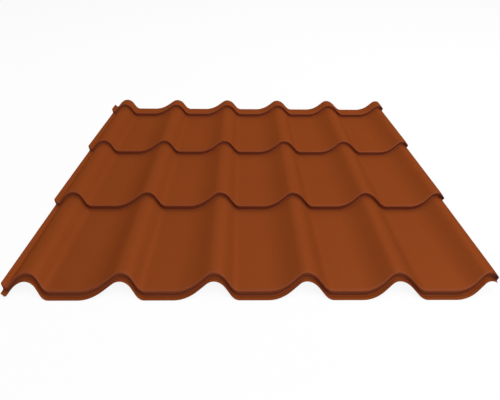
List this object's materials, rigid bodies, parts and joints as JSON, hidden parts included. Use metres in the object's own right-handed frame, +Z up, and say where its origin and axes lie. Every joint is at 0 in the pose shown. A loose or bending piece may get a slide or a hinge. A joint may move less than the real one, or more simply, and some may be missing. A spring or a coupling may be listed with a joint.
{
  "type": "metal roofing sheet",
  "caption": "Pressed steel roofing sheet with uneven waves up the slope, stepped courses like rows of tiles, a drained under-lap edge and an over-lap edge.",
  "frame": {"origin": "middle of the underside of the sheet's box, on the floor that the sheet's feet rest on", "axes": "+X across the waves, from the under-lap edge to the over-lap edge; +Y up the slope, from the eave edge to the head edge; +Z up, out of the weather face"},
  "size_m": [1.1686, 1.1556, 0.0425],
  "materials": {
    "coated_steel": "matt terracotta-brown coil coating on thin galvanised steel"
  },
  "bodies": {
    "root": {"roofing_sheet": "coated_steel"}
  },
  "joints": []
}
